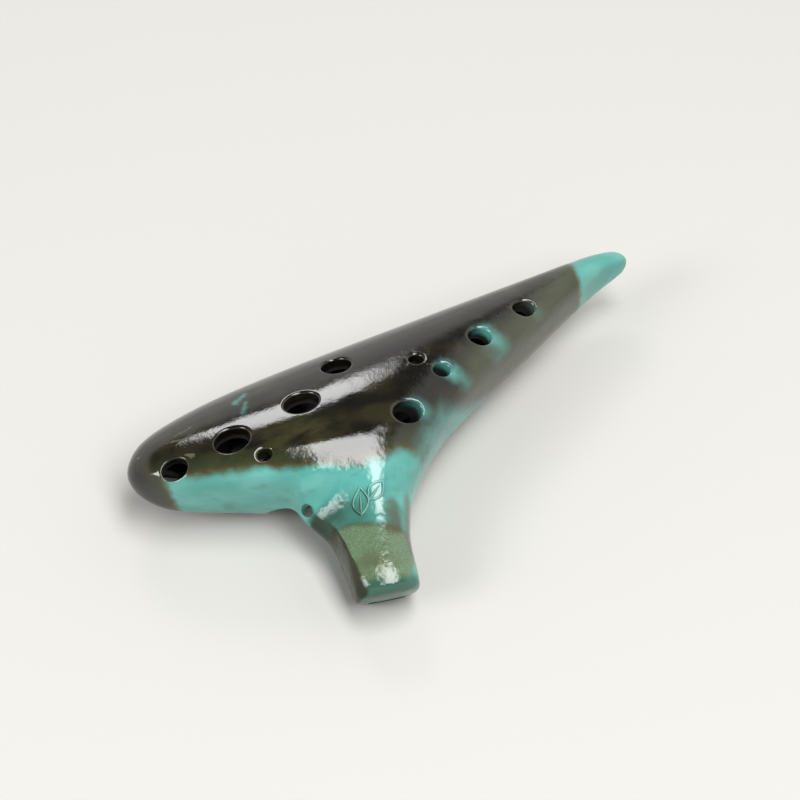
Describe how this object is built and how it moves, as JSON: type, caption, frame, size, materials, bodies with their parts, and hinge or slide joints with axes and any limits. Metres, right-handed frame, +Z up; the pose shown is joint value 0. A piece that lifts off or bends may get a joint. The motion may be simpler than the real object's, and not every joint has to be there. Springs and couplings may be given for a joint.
{
  "type": "ocarina",
  "caption": "Transverse ocarina: a hollow glazed clay vessel in two shells with finger and thumb holes, a side mouthpiece with windway, window, labium and a strap hole.",
  "frame": {"origin": "bottom centre of the bounding box, on the surface that the belly rests on", "axes": "+X to the tail's tip, -Y to the mouthpiece, +Z up, the side with the finger holes"},
  "size_m": [0.1771, 0.0902, 0.0338],
  "materials": {
    "dark_glaze": "glossy brown-black glaze that breaks to olive and turquoise",
    "belly_glaze": "glossy brown and olive glaze",
    "turquoise_glaze": "glossy turquoise glaze over speckled green",
    "green_glaze": "speckled olive-green glaze",
    "bare_clay": "unglazed fired slip"
  },
  "bodies": {
    "root": {"upper_shell": "dark_glaze", "lower_shell": "belly_glaze", "mouthpiece_roof": "turquoise_glaze", "mouthpiece_floor": "green_glaze", "labium": "green_glaze", "seam_bead": "bare_clay"}
  },
  "joints": []
}
